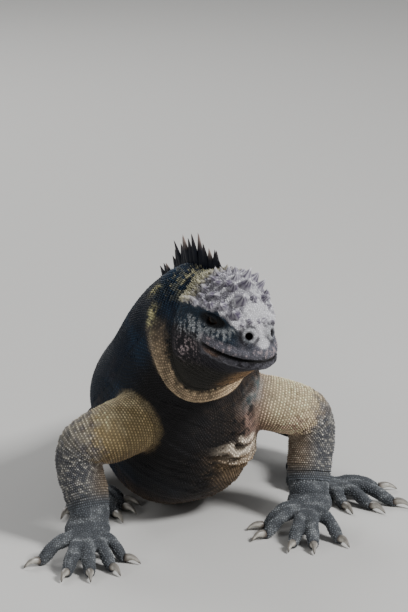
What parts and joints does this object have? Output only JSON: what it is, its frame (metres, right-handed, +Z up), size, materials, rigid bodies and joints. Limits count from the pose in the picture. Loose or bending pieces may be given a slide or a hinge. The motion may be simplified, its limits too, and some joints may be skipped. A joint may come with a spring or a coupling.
{
  "type": "marine iguana figure",
  "caption": "Life-size still marine iguana propped on its forelegs, head turned, crest raised, tail curled on the floor.",
  "frame": {"origin": "on the floor plane under the middle of the whole animal's box, tail included", "axes": "+Z up; the animal faces -Y and its tail runs towards +Y; +X is its left side"},
  "size_m": [0.266, 0.622, 0.2133],
  "materials": {
    "head_scutes": "dry keratin scutes crusted with pale salt",
    "neck_skin": "dark granular scales",
    "body_skin": "dark keeled scales, brown belly",
    "tail_skin": "dark keeled scales in rings",
    "arm_skin": "tan and violet grey scales",
    "leg_skin": "brown grey scales",
    "hand_skin": "bluish grey small scales",
    "claw": "pale horn, semi-gloss",
    "eye": "dark brown, wet gloss"
  },
  "bodies": {
    "root": {"head": "head_scutes", "eye_left": "eye", "eye_right": "eye", "neck": "neck_skin", "torso": "body_skin", "tail_1": "tail_skin", "tail_2": "tail_skin", "tail_3": "tail_skin", "tail_4": "tail_skin", "upper_arm_left": "arm_skin", "upper_arm_right": "arm_skin", "forearm_left": "arm_skin", "forearm_right": "arm_skin", "hand_left": "hand_skin", "hand_right": "hand_skin", "thigh_left": "leg_skin", "thigh_right": "leg_skin", "shin_left": "leg_skin", "shin_right": "leg_skin", "foot_left": "hand_skin", "foot_right": "hand_skin", "claw_hand_left_1": "claw", "claw_hand_left_2": "claw", "claw_hand_left_3": "claw", "claw_hand_left_4": "claw", "claw_hand_left_5": "claw", "claw_hand_right_1": "claw", "claw_hand_right_2": "claw", "claw_hand_right_3": "claw", "claw_hand_right_4": "claw", "claw_hand_right_5": "claw", "claw_foot_left_1": "claw", "claw_foot_left_2": "claw", "claw_foot_left_3": "claw", "claw_foot_left_4": "claw", "claw_foot_left_5": "claw", "claw_foot_right_1": "claw", "claw_foot_right_2": "claw", "claw_foot_right_3": "claw", "claw_foot_right_4": "claw", "claw_foot_right_5": "claw"}
  },
  "joints": []
}
